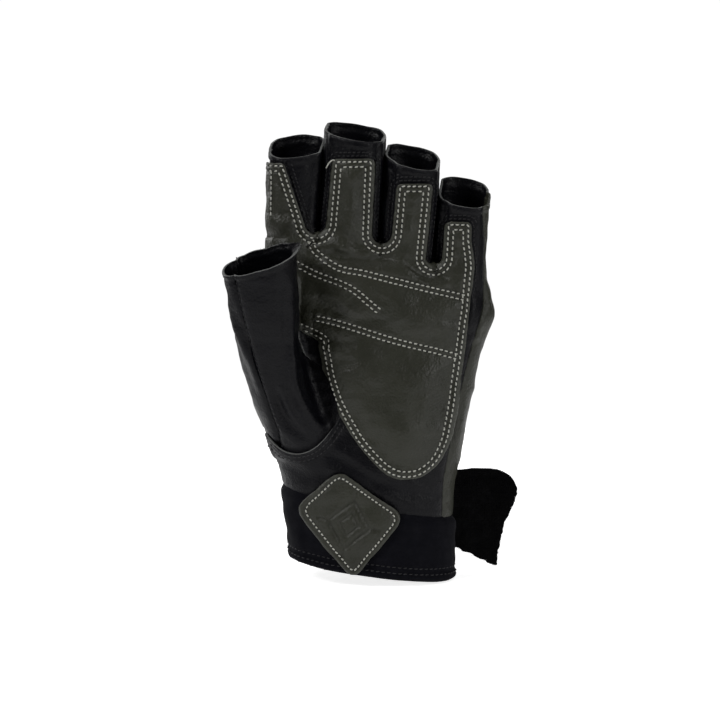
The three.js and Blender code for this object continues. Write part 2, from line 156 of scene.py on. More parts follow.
# Folds in the leather: a front-view line, the side that it is on (-1 palm, 1 back), its width and its depth.
CREASES = [
    ([[-21, 53], [-10, 47], [4, 40], [18, 33.5], [27, 30]], -1, 2.0, 0.9),
    ([[-6, 50], [6, 43], [18, 36]], -1, 1.5, 0.6),
    ([[12, 37.5], [22, 34.5], [29, 33]], -1, 1.1, 0.5),
    ([[-34, 44], [-26, 42], [-18, 44]], -1, 2.2, 0.5),
    ([[-60.5, 124], [-59, 113], [-55.5, 103], [-52.5, 93]], -1, 1.2, -0.9),
    ([[-57, 100], [-52.5, 88], [-49, 76]], -1, 1.8, 0.8),
    ([[-41.5, 92], [-40.5, 80], [-38.5, 70], [-35, 62]], -1, 2.0, 0.7),
    ([[-41, 82], [-36, 68], [-26, 58]], -1, 2.0, 1.1),
    ([[-36, 84], [-31, 72], [-23, 62]], -1, 1.6, 0.8),
    ([[-33.5, 130], [-33, 112], [-33, 94], [-31.5, 80], [-26, 68], [-18, 60]], -1, 1.5, -1.0),
    ([[44, 126], [45, 112], [42, 100]], -1, 1.6, 0.9),
    ([[46.5, 122], [47.5, 108], [44.5, 97]], -1, 1.4, 0.8),
    ([[39, 78], [35.5, 62], [33, 48]], -1, 1.4, 0.6),
    ([[-30, 60], [-12, 66], [8, 64], [26, 58]], 1, 2.6, 0.8),
    ([[-34, 78], [-16, 84], [6, 82], [30, 76]], 1, 3.0, 0.7),
    ([[-28, 46], [-8, 50], [12, 48], [30, 44]], 1, 2.4, 0.9),
    ([[-30, 128], [-22, 120], [-18, 108]], 1, 2.4, 0.7),
    ([[4, 128], [3, 116], [6, 102]], 1, 2.4, 0.7),
    ([[26, 124], [24, 112], [26, 98]], 1, 2.4, 0.7),
]
# Soft folds in the overlay: a front-view line, its width and its depth.
OVERLAY_CREASES = [
    ([[-40, 143], [-35, 145.5], [-29, 142]], 1.6, 0.28),
    ([[-38, 152], [-34, 155], [-31, 153]], 1.3, 0.3),
    ([[-15, 146], [-9, 142], [-3, 136]], 1.5, 0.45),
    ([[-14, 137], [-5, 133.5], [4, 133.5], [10, 136]], 1.5, 0.5),
    ([[13, 135], [18, 129], [25, 125.5], [32, 127.5]], 1.4, 0.5),
    ([[-24, 134], [-18, 136], [-10, 134]], 1.4, 0.4),
    ([[-22, 102], [-14, 99.5], [-6, 98.5]], 1.6, 0.4),
    ([[-24, 119], [-18, 115], [-10, 112]], 1.8, 0.45),
    ([[-10, 110], [2, 108], [12, 103]], 2.2, 0.35),
    ([[30, 112], [35, 108], [37.5, 102]], 1.6, 0.4),
    ([[-13, 74], [-8, 68], [-4, 60]], 2.0, 0.4),
    ([[32, 84], [28, 72], [27, 62]], 2.2, 0.35),
    ([[-8, 166], [-4, 160], [-4, 150]], 1.8, 0.3),
    ([[16, 156], [18, 148], [16, 140]], 1.6, 0.3),
    ([[34, 142], [37, 136], [36, 128]], 1.5, 0.35),
]
HAND = ("hand_shell",)
# The pieces at a joint, with its two bodies and two points. Such a piece is baked in place and attached to neither
# body.
THUMB_BEND = ("hand_shell", "thumb_stall", tuple(v * MM for v in (-25, -20, 70)), tuple(v * MM for v in (-41, -34, 70)))
TAB_BEND = ("hand_shell", "closing_tab", tuple(v * MM for v in (37.5, 12, 20)), tuple(v * MM for v in (44, 12, 20)))


# ---------------------------------------------------------------- curves and fields
def unit(ways):
    """Ways made 1 long."""
    return ways / np.maximum(np.linalg.norm(ways, axis=-1, keepdims=True), 1e-9)


def bell(x, width):
    """1 where x is 0, falling off on both sides."""
    return np.exp(-((x / width) ** 2))


def smoothstep(x, low, high):
    t = np.clip((x - low) / (high - low), 0, 1)
    return t * t * (3 - 2 * t)


def within(*fields):
    """Positive where every field is."""
    return np.minimum.reduce(fields)


def spline(points, steps=8):
    """A Catmull-Rom curve through points, with steps points to a stretch."""
    rows = np.array(points, float)
    made = []
    for i in range(len(rows) - 1):
        a, b, d, e = (rows[min(len(rows) - 1, max(0, i + k))] for k in (-1, 0, 1, 2))
        for t in np.arange(steps) / steps:
            made.append(b + 0.5 * t * (d - a + t * (2 * a - 5 * b + 4 * d - e + t * (3 * (b - d) + e - a))))
    made.append(rows[-1])
    return np.array(made)


def rounded(points, radius, steps=6):
    """A closed outline with every corner rounded."""
    corners = np.array(points, float)
    made = []
    for i, corner in enumerate(corners):
        before, after = corners[i - 1] - corner, corners[(i + 1) % len(corners)] - corner
        start = corner + before / np.linalg.norm(before) * radius
        end = corner + after / np.linalg.norm(after) * radius
        for t in np.linspace(0, 1, steps + 1):
            made.append((1 - t) ** 2 * start + 2 * t * (1 - t) * corner + t * t * end)
    return np.array(made)


def lengths(line):
    """How far each point of a line is along it."""
    return np.concatenate([[0], np.cumsum(np.linalg.norm(np.diff(line, axis=0), axis=1))])


def resample(line, pitch, closed=False, shift=0.5):
    """Points an even pitch apart along a line, and the way at each. shift is the first one's share of a pitch."""
    if closed:
        line = np.vstack([line, line[:1]])
    along = lengths(line)
    count = max(1, int(round(along[-1] / pitch)))
    at = (np.arange(count) + shift) * along[-1] / count
    made, ahead, behind = (np.stack([np.interp(at + by, along, c) for c in line.T], 1) for by in (0, 0.3, -0.3))
    return made, unit(ahead - behind)


def parallel(line, by):
    """A front-view line moved sideways."""
    line = np.asarray(line, float)
    way = unit(np.gradient(line, axis=0))
    return line + np.stack([way[:, 1], -way[:, 0]], 1) * by


def inset(outline, by):
    """Points 0.5 mm apart along a closed outline moved inwards."""
    dense = resample(outline, 0.5, closed=True)[0]
    inwards = inside(parallel(dense, 1)[20:21], outline)[0] > 0
    return parallel(dense, by if inwards else -by)


def runs(row, keep, gap, fewest):
    """The kept stretches of a row of points, split where neighbours are more than gap apart."""
    made, run = [], []
    for point, good in zip(row, keep):
        if good and (not run or np.linalg.norm(point - run[-1]) < gap):
            run.append(point)
        else:
            made.append(run)
            run = [point] if good else []
    return [np.array(r) for r in (*made, run) if len(r) > fewest]


def nearest(points, line):
    """How far each 2-D point is from a line, and how far along the line it is nearest, from 0 to 1."""
    best, share, along = np.full(len(points), 1e9), np.zeros(len(points)), lengths(line)
    for p, q, start, end in zip(line, line[1:], along, along[1:]):
        way = q - p
        t = np.clip(((points - p) @ way) / max(way @ way, 1e-12), 0, 1)
        away = np.linalg.norm(points - p - t[:, None] * way, axis=1)
        share = np.where(away < best, (start + t * (end - start)) / along[-1], share)
        best = np.minimum(best, away)
    return best, share


def line_distance(points, line, closed=False):
    line = np.asarray(line, float)
    return nearest(points, np.vstack([line, line[:1]]) if closed else line)[0]


def inside(points, outline):
    """The distance from each 2-D point to a closed outline, positive inside."""
    outline = np.asarray(outline, float)
    odd = np.zeros(len(points), bool)
    for p, q in zip(outline, np.roll(outline, -1, axis=0)):
        crosses = (p[1] > points[:, 1]) != (q[1] > points[:, 1])
        rise = q[1] - p[1] if q[1] != p[1] else 1e-12
        odd ^= crosses & (points[:, 0] < (q[0] - p[0]) * (points[:, 1] - p[1]) / rise + p[0])
    return np.where(odd, 1, -1) * line_distance(points, outline, closed=True)


def across_at(line, z):
    """Where a line of [across, up] points is at a height."""
    line = np.array(sorted(line, key=lambda p: p[1]), float)
    return np.interp(z, line[:, 1], line[:, 0])


def fold(points, line, width, depth):
    """A crease along a line, with a soft ridge on both sides, that fades towards its ends."""
    away, along = nearest(points, spline(line))
    share = np.sin(np.pi * np.clip(along, 0, 1)) ** 0.7
    return depth * share * (0.55 * bell(away - 2.1 * width, width) - bell(away, width))


def level(plane, points):
    """How far points are above a sloping level."""
    return points[:, 2] - (plane[0] + plane[1] * points[:, 0] + plane[2] * points[:, 1])


class Waves:
    """A smooth random field: a sum of plane waves with random ways and phases. size is its feature size."""

    def __init__(self, size, stretch=(1, 1, 1), count=14):
        ways = unit(random.normal(size=(count, 3)))
        self.ways = ways * (2 * math.pi / size) * random.uniform(0.6, 1.5, (count, 1)) / np.array(stretch)
        self.phases = random.uniform(0, 2 * math.pi, count)

    def __call__(self, points):
        return np.sin(points @ self.ways.T + self.phases).sum(1) / math.sqrt(len(self.phases) / 2) / 2


EDGE_WAVES = Waves(9)
BROAD = Waves(26)
SOFT = Waves(11, stretch=(1.6, 1.2, 1))
FINE = Waves(5, stretch=(1.8, 1.3, 1))
MIDDLING = Waves(15, stretch=(1.3, 1, 1), count=20)
PUCKER = Waves(4.2, count=20)


# ---------------------------------------------------------------- surfaces: (vertices, faces) in millimetres
def loft(rows, below=0.0, above=0.0):
    """A closed surface through oval sections; below and above lengthen its ends."""
    sides = 72
    rings = [list(r) for r in spline(rows, 10)]
    for end, inner, by, put in ((rings[0], rings[1], below, 0), (rings[-1], rings[-2], above, len(rings) + 1)):
        if by:
            way = np.subtract(end[:3], inner[:3])
            way *= by / np.linalg.norm(way)
            rings.insert(put, [*(np.add(end[:3], way)), *end[3:]])
    angle = np.arange(sides) * 2 * math.pi / sides
    oval = [np.sign(v) * np.abs(v) ** (2 / SQUARENESS) for v in (np.cos(angle), np.sin(angle))]
    points = []
    for x, y, z, width, depth, rise_x, rise_y in rings:
        dx, dy = width * oval[0], depth * oval[1]
        points.append(np.stack([x + dx, y + dy, z + rise_x * dx + rise_y * dy], 1))
    vertices = np.concatenate([*points, [rings[0][:3]], [rings[-1][:3]]])
    faces = tube_faces(len(rings), sides)
    low, last = len(vertices) - 2, (len(rings) - 1) * sides
    for j in range(sides):
        k = (j + 1) % sides
        faces += [(low, k, j), (low + 1, last + j, last + k)]
    return vertices, faces


def tube_faces(rings, sides):
    """The faces between rings of points."""
    faces = []
    for i in range(0, (rings - 1) * sides, sides):
        for j in range(sides):
            k = (j + 1) % sides
            faces.append((i + j, i + k, i + sides + k, i + sides + j))
    return faces


def joined(surfaces):
    vertices, faces, start = [], [], 0
    for points, polygons in surfaces:
        vertices.append(points)
        faces += [tuple(i + start for i in f) for f in polygons]
        start += len(points)
    return np.concatenate(vertices), faces


def to_object(name, surface, scale=MM):
    mesh = bpy.data.meshes.new(name)
    mesh.from_pydata((np.asarray(surface[0]) * scale).tolist(), [], [list(map(int, f)) for f in surface[1]])
    return link(name, mesh)


def link(name, data):
    made = bpy.data.objects.new(name, data)
    bpy.context.scene.collection.objects.link(made)
    return made


def modified(surface, kind, **settings):
    """A surface after one of Blender's modifiers, applied at full size."""
    holder = to_object("work", surface, 1.0)
    modifier = holder.modifiers.new("work", kind)
    for key, value in settings.items():
        setattr(modifier, key, value)
    evaluated = holder.evaluated_get(bpy.context.evaluated_depsgraph_get())
    mesh = evaluated.to_mesh()
    vertices = np.empty(len(mesh.vertices) * 3)
    mesh.vertices.foreach_get("co", vertices)
    faces = [tuple(p.vertices) for p in mesh.polygons]
    evaluated.to_mesh_clear()
    data = holder.data
    bpy.data.objects.remove(holder)
    bpy.data.meshes.remove(data)
    return vertices.reshape(-1, 3), faces


def subdivided(surface):
    return modified(surface, "SUBSURF", levels=1, render_levels=1, subdivision_type="CATMULL_CLARK")


def edges_of(faces):
    pairs = [(f[i - 1], f[i]) for f in faces for i in range(len(f))]
    return np.unique(np.sort(np.array(pairs), axis=1), axis=0)


def smoothed(surface, rounds, weight=None):
    vertices, faces = surface
    vertices = vertices.copy()
    edges = edges_of(faces)
    degree = np.bincount(edges.ravel(), minlength=len(vertices)).astype(float)[:, None]
    pull = 0.5 if weight is None else 0.5 * weight[:, None]
    for _ in range(rounds):
        total = np.zeros_like(vertices)
        np.add.at(total, edges[:, 0], vertices[edges[:, 1]])
        np.add.at(total, edges[:, 1], vertices[edges[:, 0]])
        vertices += pull * (total / np.maximum(degree, 1) - vertices)
    return vertices, faces


def normals_of(surface):
    vertices, faces = surface
    normals = np.zeros_like(vertices)
    by_size = {}
    for f in faces:
        by_size.setdefault(len(f), []).append(f)
    for group in by_size.values():
        index = np.array(group)
        corner = vertices[index]
        across = np.cross(corner[:, 2] - corner[:, 0], corner[:, -1] - corner[:, 1])
        for k in range(index.shape[1]):
            np.add.at(normals, index[:, k], across)
    return unit(normals)


def pushed(sheet, by, rounds=0):
    """A sheet moved along its normals, which are those of a copy smoothed this many rounds."""
    normals = normals_of(smoothed(sheet, rounds) if rounds else sheet)
    return sheet[0] + normals * by[:, None], sheet[1]


def compact(surface):
    """A surface without the points that no face has."""
    vertices, faces = surface
    used = np.zeros(len(vertices), bool)
    for f in faces:
        used[list(f)] = True
    new = np.cumsum(used) - 1
    return vertices[used], [tuple(int(new[i]) for i in f) for f in faces]


def cut_out(surface, field):
    """The part of a surface where field is positive, cut along its zero line."""
    vertices, faces = surface
    value = field(vertices)
    vertices = vertices.copy()
    edges = edges_of(faces)
    a, b = edges[:, 0], edges[:, 1]
    crossing = value[a] * value[b] < 0
    a, b = a[crossing], b[crossing]
    t = value[a] / (value[a] - value[b])
    near = 0.25  # a vertex this near the line is moved onto it, so that no sliver is left
    for moved, other, share in ((a, b, t), (b, a, 1 - t)):
        pick = share < near
        target = vertices[moved[pick]] + (vertices[other[pick]] - vertices[moved[pick]]) * share[pick, None]
        vertices[moved[pick]] = target
        value[moved[pick]] = 0
    made, born, kept = {}, [], []
    for f in faces:
        if not any(value[i] > 0 for i in f):
            continue
        if not any(value[i] < 0 for i in f):
            kept.append(f)
            continue
        polygon = []
        for i, j in zip(f, f[1:] + f[:1]):
            if value[i] >= 0:
                polygon.append(i)
            if value[i] * value[j] < 0:
                key = (min(i, j), max(i, j))
                if key not in made:
                    made[key] = len(vertices) + len(born)
                    born.append(vertices[i] + (vertices[j] - vertices[i]) * (value[i] / (value[i] - value[j])))
                polygon.append(made[key])
        if len(polygon) > 2:
            kept.append(tuple(polygon))
    if born:
        vertices = np.concatenate([vertices, born])
    return compact((vertices, kept))


def largest(surface, others=1.0):
    """The largest connected part of a surface, and any other part with at least this share of its points."""
    vertices, faces = surface
    group = np.arange(len(vertices))
    edges = edges_of(faces)
    while True:
        low = np.minimum(group[edges[:, 0]], group[edges[:, 1]])
        before = group.copy()
        np.minimum.at(group, edges[:, 0], low)
        np.minimum.at(group, edges[:, 1], low)
        group = group[group]
        if (group == before).all():
            break
    names, counts = np.unique(group, return_counts=True)
    kept = set(names[counts >= others * counts.max()].tolist())
    return compact((vertices, [f for f in faces if group[f[0]] in kept]))


def cut_sheet(surface, field, others=1.0):
    return largest(cut_out(surface, field), others)


def border_of(faces):
    """The directed edges that only one face has."""
    seen = {}
    for f in faces:
        for i in range(len(f)):
            seen[(f[i - 1], f[i])] = True
    return [(i, j) for i, j in seen if (j, i) not in seen]


def border_points(surface):
    return surface[0][sorted({i for pair in border_of(surface[1]) for i in pair})]


def thickened(surface, thickness, round_by):
    """A closed solid from a sheet: its outer side, its inner side and the rim, whose faces come last. Returns the
    surface and the number of rim faces. round_by draws both borders in, so that the rim looks soft."""
    vertices, faces = surface
    normals = normals_of(surface)
    shift = len(vertices)
    rim = border_of(faces)
    both = np.concatenate([vertices, vertices - normals * np.reshape(thickness, (-1, 1))])
    edge = sorted({i for pair in rim for i in pair})
    both[edge] -= normals[edge] * round_by
    both[[i + shift for i in edge]] += normals[edge] * round_by
    solid = list(faces)
    solid += [tuple(i + shift for i in reversed(f)) for f in faces]
    solid += [(j, i, i + shift, j + shift) for i, j in rim]
    return (both, solid), len(rim)


def tree_of(surface):
    return BVHTree.FromPolygons([Vector(v) for v in surface[0]], [list(map(int, f)) for f in surface[1]])


def hit(tree, start, aim):
    """Where a ray first meets a surface, and the way that it faces there."""
    place, way, _, _ = tree.ray_cast(Vector(start), Vector(aim))
    if place is None:
        return None
    way = np.array(way)
    return np.array(place), way if way @ np.array(aim) < 0 else -way


# ---------------------------------------------------------------- the hand form
def contacts(points):
    """How far each point is to the right of each plane where two neighbouring fingers touch."""
    rows = [np.array(r, float) for r in FINGERS.values()]
    made = []
    for left, right in zip(rows, rows[1:]):
        walls = np.interp(points[:, 2], left[:, 2], left[:, 0] + left[:, 3])
        walls += np.interp(points[:, 2], right[:, 2], right[:, 0] - right[:, 3])
        made.append(points[:, 0] - FINGER_LEAN * (points[:, 1] + 3) - walls / 2)
    return np.array(made)


def below_section(section, points):
    """How far each point is below a section's plane."""
    x, y, z, _, _, rise_x, rise_y = section
    return z + rise_x * (points[:, 0] - x) + rise_y * (points[:, 1] - y) - points[:, 2]


def opening_field(points):
    """Positive below the finger stalls' openings."""
    finger = (contacts(points) > 0).sum(0)
    below = np.choose(finger, [below_section(rows[-1], points) for rows in FINGERS.values()])
    return below + 0.25 * EDGE_WAVES(points)


def thumb_opening_field(points):
    return below_section(THUMB[-1], points) + 0.3 * EDGE_WAVES(points)


def hand_form(lofts):
    return smoothed(modified(joined(lofts), "REMESH", mode="VOXEL", voxel_size=VOXEL), 8)


def near_thumb_root(points):
    """1 in the fold between thumb and palm, fading out round it."""
    away = line_distance(points[:, [0, 2]], spline(ROOT_FOLD))
    return (1 - smoothstep(away, 4, 13)) * (points[:, 1] < 2)


def pressed(points):
    """1 where neighbouring fingers touch, fading to 0 a few millimetres away."""
    return np.maximum.reduce([
        (1 - smoothstep(np.abs(away), 0.8, 4)) * smoothstep(points[:, 2], low - 5, low)
        for low, away in zip(CROTCHES, contacts(points))
    ])


def pressed_together(points, ways):
    """Neighbouring fingers press flat against each other, above the crotch between them."""
    tops = [rows[-1][2] for rows in FINGERS.values()]
    moved = points.copy()
    shut, press = 0.04, 0.9
    z = points[:, 2]
    for low, away, top in zip(CROTCHES, contacts(points), np.minimum(tops[:-1], tops[1:])):
        far = np.abs(away)
        levels = np.arange(low - 10, top + 14, 1.5)
        for side in (-1, 1):
            own = away * side >= 0
            wall = own & (ways[:, 0] * side < -0.6)
            gaps = [far[wall & (np.abs(z - at) < 1.2)].min(initial=4) for at in levels]
            gaps = np.convolve(np.pad(gaps, 1, "edge"), [0.25, 0.5, 0.25], "valid")
            gap = np.interp(z, levels, gaps)
            near = far - (gap + press) * bell(np.maximum(far - gap, 0), 7)
            near = np.maximum(near, np.minimum(far, shut))
            moved[:, 0] += smoothstep(z, low - 9, low - 1) * own * (far < 16) * side * (near - far)
    return moved


def relief(points, normals):
    """The leather's own waves and folds, as a move along the normals."""
    move = 0.45 * BROAD(points) + 0.26 * SOFT(points) + 0.12 * FINE(points)
    valley = line_distance(points[:, [0, 2]], spline(VALLEY))
    move -= 3.2 * bell(valley, 4.5) * (points[:, 1] < -4)
    # The leather stands off at the little-finger side, above the wrist.
    move += 1.6 * bell(points[:, 2] - 112, 11) * smoothstep(points[:, 0], 36, 47)
    for line, side, width, depth in CREASES:
        move += fold(points[:, [0, 2]], line, width, depth) * smoothstep(normals[:, 1] * side, 0, 0.4)
    return move


hand_lofts = [loft(BODY, below=8)] + [loft(rows, above=8) for rows in FINGERS.values()]
hand_tree = tree_of(hand_form(hand_lofts))
whole = hand_form([*hand_lofts, loft(THUMB, above=8)])
whole = smoothed(whole, 30, weight=near_thumb_root(whole[0]))
normals = normals_of(whole)
calm = 1 - pressed(whole[0])
whole = (whole[0] + normals * (relief(whole[0], normals) * calm)[:, None], whole[1])
whole = (pressed_together(whole[0], normals), whole[1])


def off_hand(points):
    """How far each point is outside the hand form without its thumb, in the thumb's neighbourhood."""
    value = np.full(len(points), -9.0)
    x, y, z = points.T
    close = (x < np.where(z < 125, -8, -28)) & (z > 44) & (z < 160) & (y < 16)
    for i in np.nonzero(close)[0]:
        place, way, _, away = hand_tree.find_nearest(Vector(points[i]))
        value[i] = away if (Vector(points[i]) - place).dot(way) > 0 else -away
    return value


def thumb_field(points):
    """Positive on the thumb stall: within the root's outline in front, and off the hand form elsewhere."""
    front = inside(points[:, [0, 2]], spline(THUMB_ROOT, 6))
    share = np.maximum(smoothstep(points[:, 1], -14, -2), smoothstep(points[:, 2], 84, 97))
    return (1 - share) * front + share * (off_hand(points) - 1.3)


on_thumb = thumb_field(whole[0])
thumb_skin = cut_sheet(whole, lambda p: on_thumb + UNDER_LIP)
thumb_skin = cut_sheet(thumb_skin, thumb_opening_field)
hand_skin = cut_out(cut_sheet(whole, lambda p: -on_thumb), opening_field)

lip = border_points(hand_skin)
lip = lip[(lip[:, 0] < -4) & (lip[:, 2] > 40) & (lip[:, 2] < 125)]
lip_tree = KDTree(len(lip))
for number, point in enumerate(lip):
    lip_tree.insert(point, number)
lip_tree.balance()


def from_lip(points):
    """How far points are from the palm leather's lip round the thumb."""
    return np.array([min(FAR, lip_tree.find(p)[2]) for p in points])


def from_thumb_root(points):
    """The same, for the hand's leather, of which only a part is near."""
    value = np.full(len(points), FAR)
    close = (points[:, 0] < 8) & (points[:, 2] > 34) & (points[:, 2] < 135)
    value[close] = from_lip(points[close])
    return value


thumb_skin = pushed(thumb_skin, -0.7 * (1 - smoothstep(from_lip(thumb_skin[0]), 0.6, 3.5)))


def hemmed(sheet):
    """The turned hems at the finger openings, and the lip of leather round the thumb's root."""
    hem, root = opening_field(sheet[0]), from_thumb_root(sheet[0])
    move = 0.45 * (1 - smoothstep(hem, 2.6, 3.4)) - 0.25 * bell(hem - 3.6, 0.5)
    move *= 1 - pressed(sheet[0])
    move += 0.6 * (1 - smoothstep(root, 2.8, 4.6)) - 0.3 * bell(root - 2.3, 0.45)
    return pushed(sheet, move, 3)


def rolled(sheet, field, depth=0.7, width=1.0):
    """A sheet whose border, where field falls to 0, rolls inwards into its seam."""
    away = np.maximum(field(sheet[0]), 0)
    return pushed(sheet, -(depth * bell(away, width) * (1 - pressed(sheet[0]))))


def raw_edge(points):
    """How far each point is from an edge of leather left raw: a finger opening or the thumb's root."""
    return np.minimum(np.maximum(opening_field(points), 0), from_thumb_root(points))


# ---------------------------------------------------------------- materials
class Nodes:
    """The shader nodes of a new material or world."""

    def __init__(self, owner):
        owner.use_nodes = True
        self.owner, self.tree = owner, owner.node_tree

    def feed(self, node, inputs):
        """Links or sets a node's inputs."""
        for key, value in inputs.items():
            if isinstance(value, bpy.types.NodeSocket):
                self.tree.links.new(value, node.inputs[key])
            else:
                node.inputs[key].default_value = value

    def add(self, kind, inputs, **settings):
        node = self.tree.nodes.new("ShaderNode" + kind)
        for key, value in settings.items():
            setattr(node, key, value)
        self.feed(node, inputs)
        return node

    def shaded(self, inputs):
        self.feed(next(n for n in self.tree.nodes if n.type == "BSDF_PRINCIPLED"), inputs)
        return self.owner

    @cached_property
    def place(self):
        return self.add("TexCoord", {}).outputs["Object"]

    def noise(self, scale, detail, rough):
        inputs = {"Scale": scale, "Detail": detail, "Roughness": rough, "Vector": self.place}
        return self.add("TexNoise", inputs).outputs

    def product(self, a, b):
        return self.add("Math", {0: a, 1: b}, operation="MULTIPLY").outputs[0]

    def mapped(self, source, from_low, from_high, low, high):
        inputs = {"Value": source, "From Min": from_low, "From Max": from_high, "To Min": low, "To Max": high}
        return self.add("MapRange", inputs).outputs["Result"]

    def mixed(self, share, a, b):
        node = self.add("Mix", {"Factor": share}, data_type="RGBA")
        places = [i for i, socket in enumerate(node.inputs) if socket.type == "RGBA"]
        self.feed(node, {i: (*v, 1) if isinstance(v, tuple) else v for i, v in zip(places, (a, b))})
        return next(s for s in node.outputs if s.type == "RGBA")

    def bump(self, height, strength, distance, under=None):
        inputs = {"Height": height, "Strength": strength, "Distance": distance}
        return self.add("Bump", inputs if under is None else {**inputs, "Normal": under}).outputs["Normal"]

    def seen(self, other, camera):
        """One value for what the camera sees itself, and another for the light that falls on things."""
        return self.mapped(self.add("LightPath", {}).outputs["Is Camera Ray"], 0, 1, other, camera)


def leather(name, colour, worn, rough, grain, grain_strength, shine=0.4):
    """Grained leather: pebbles, fine creases, uneven dye, and paler rubbed edges where the wear attribute is high."""
    made = Nodes(bpy.data.materials.new(name))
    blotch, crease = made.noise(55, 5, 0.6)["Fac"], made.noise(grain * 0.45, 6, 0.65)
    bent = made.add("VectorMath", {0: crease["Color"], 1: (0.0006,) * 3, 2: made.place}, operation="MULTIPLY_ADD")
    pebble = made.add("TexVoronoi", {"Scale": grain, "Vector": bent.outputs["Vector"]}, feature="F1")
    pebble = pebble.outputs["Distance"]
    wear = made.add("Attribute", {}, attribute_name="wear").outputs["Fac"]
    dark = tuple(c * 0.72 for c in colour)
    base = made.mixed(made.mapped(blotch, 0.3, 0.7, 0, 1), dark, colour)
    base = made.mixed(made.mapped(pebble, 0.1, 0.8, 0, 0.35), base, dark)
    rubbed = made.product(wear, made.mapped(crease["Fac"], 0.35, 0.65, 0.4, 1.0))
    return made.shaded({
        "Base Color": made.mixed(rubbed, base, worn),
        "Roughness": made.mapped(blotch, 0.3, 0.7, rough - 0.05, rough + 0.07),
        "Normal": made.bump(pebble, grain_strength, 0.0003, made.bump(crease["Fac"], grain_strength, 0.0005)),
        "Specular IOR Level": shine,
    })


def cloth(name, colour, pale, rough, pitch, strength, sheen):
    """Knitted or brushed fabric: a fine woven relief and lint."""
    made = Nodes(bpy.data.materials.new(name))
    lint = made.noise(240, 6, 0.7)["Fac"]
    inputs = {"Scale": pitch, "Distortion": 1.2, "Detail": 1, "Vector": made.place}
    ribs = [made.add("TexWave", inputs, wave_type="BANDS", bands_direction=way).outputs["Fac"] for way in "XZ"]
    return made.shaded({
        "Base Color": made.mixed(made.mapped(lint, 0.45, 0.75, 0, 0.8), colour, pale),
        "Normal": made.bump(made.product(*ribs), strength, 0.0002, made.bump(lint, strength * 0.8, 0.0004)),
        "Roughness": rough,
        "Sheen Weight": sheen,
        "Sheen Roughness": 0.5,
        "Specular IOR Level": 0.08,
    })


def thread(name, colour, dark):
    """Twisted polyester thread."""
    made = Nodes(bpy.data.materials.new(name))
    fuzz = made.noise(2600, 4, 0.7)["Fac"]
    base = made.mixed(made.mapped(fuzz, 0.35, 0.65, 0, 1), dark, colour)
    return made.shaded({"Base Color": base, "Normal": made.bump(fuzz, 0.5, 0.0002), "Roughness": 0.6})


LOOKS = {
    "black_leather": (leather, (0.0026, 0.0026, 0.0042), (0.042, 0.042, 0.045), 0.35, 1200, 0.5, 0.17),
    "olive_leather": (leather, (0.0235, 0.0245, 0.0150), (0.085, 0.088, 0.073), 0.42, 1000, 0.55, 0.4),
    "cut_edge": (leather, (0.16, 0.165, 0.16), (0.25, 0.25, 0.24), 0.85, 2400, 0.6),
    "olive_edge": (leather, (0.05, 0.052, 0.043), (0.12, 0.12, 0.11), 0.85, 2400, 0.6),
    "neoprene": (cloth, (0.0022, 0.0023, 0.0042), (0.006, 0.006, 0.009), 0.85, 700, 0.4, 0.02),
    "hook_cloth": (cloth, (0.0008, 0.0008, 0.001), (0.004, 0.004, 0.0045), 0.95, 420, 1.0, 0.01),
    "foam": (cloth, (0.16, 0.16, 0.15), (0.24, 0.24, 0.22), 0.95, 900, 0.8, 0.0),
    "pale_thread": (thread, (0.6, 0.6, 0.54), (0.34, 0.34, 0.3)),
    "black_thread": (thread, (0.009, 0.009, 0.011), (0.004, 0.004, 0.005)),
}
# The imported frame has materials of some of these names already, so they are looked up here and not by name.
MATERIALS = {name: make(name, *values) for name, (make, *values) in LOOKS.items()}
EDGES = {"black_leather": "cut_edge", "olive_leather": "olive_edge"}


# ---------------------------------------------------------------- pieces
def finish_piece(made, materials, bodies, replaces=()):
    """Gives a piece its materials, attaches it to its body where it has one, bakes its transform where it has more, and
    hides the CAD nodes that it stands for.
    """
    for key in materials:
        made.data.materials.append(MATERIALS[key])
    made.data.shade_smooth()
    if len(bodies) == 1:
        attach(made, bodies[0])
    else:
        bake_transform(made)
    if replaces:
        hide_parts(*replaces)
    return made


def piece(name, surface, slot, bodies=HAND, thickness=LEATHER, wear=None, round_by=0.15, raw=None):
    """A sheet made into the closed piece that stands for the node of its name. The rim of a leather piece gets a
    material of its own, where raw is under 1 mm if it is given."""
    solid, rim_count = thickened(surface, thickness, round_by)
    made = to_object(name, solid)
    if wear is not None:
        layer = made.data.attributes.new("wear", "FLOAT", "POINT")
        layer.data.foreach_set("value", np.concatenate([wear, wear * 0]).astype(np.float32))
    materials = (slot, EDGES[slot]) if slot in EDGES else (slot,)
    if len(materials) > 1:
        index = np.zeros(len(made.data.polygons), np.int32)
        index[-rim_count:] = 1 if raw is None else raw[[min(f) for f in solid[1][-rim_count:]]] < 1
        made.data.polygons.foreach_set("material_index", index)
    return finish_piece(made, materials, bodies, (name,))


def trim(name, surface, material="black_thread", bodies=HAND):
    """A piece of thread or fibres, which no CAD node stands for."""
    return finish_piece(to_object(name, surface), (material,), bodies)


def cap_stitch():
    """One stitch, as a unit capsule along X that dips at both ends."""
    sides = 6
    half = [(0.5, 0.35, -0.5), (0.42, 0.8, -0.12), (0.2, 1, 0.16)]  # along, radius, lift
    rings = [(-x, radius, lift) for x, radius, lift in half] + half[::-1]
    points = []
    for x, radius, lift in rings:
        for k in range(sides):
            angle = 2 * math.pi * k / sides
            points.append((x, radius * math.cos(angle), radius * math.sin(angle) + lift))
    ends = [tuple(reversed(range(sides))), tuple(range((len(rings) - 1) * sides, len(rings) * sides))]
    return np.array(points), ends + tube_faces(len(rings), sides)


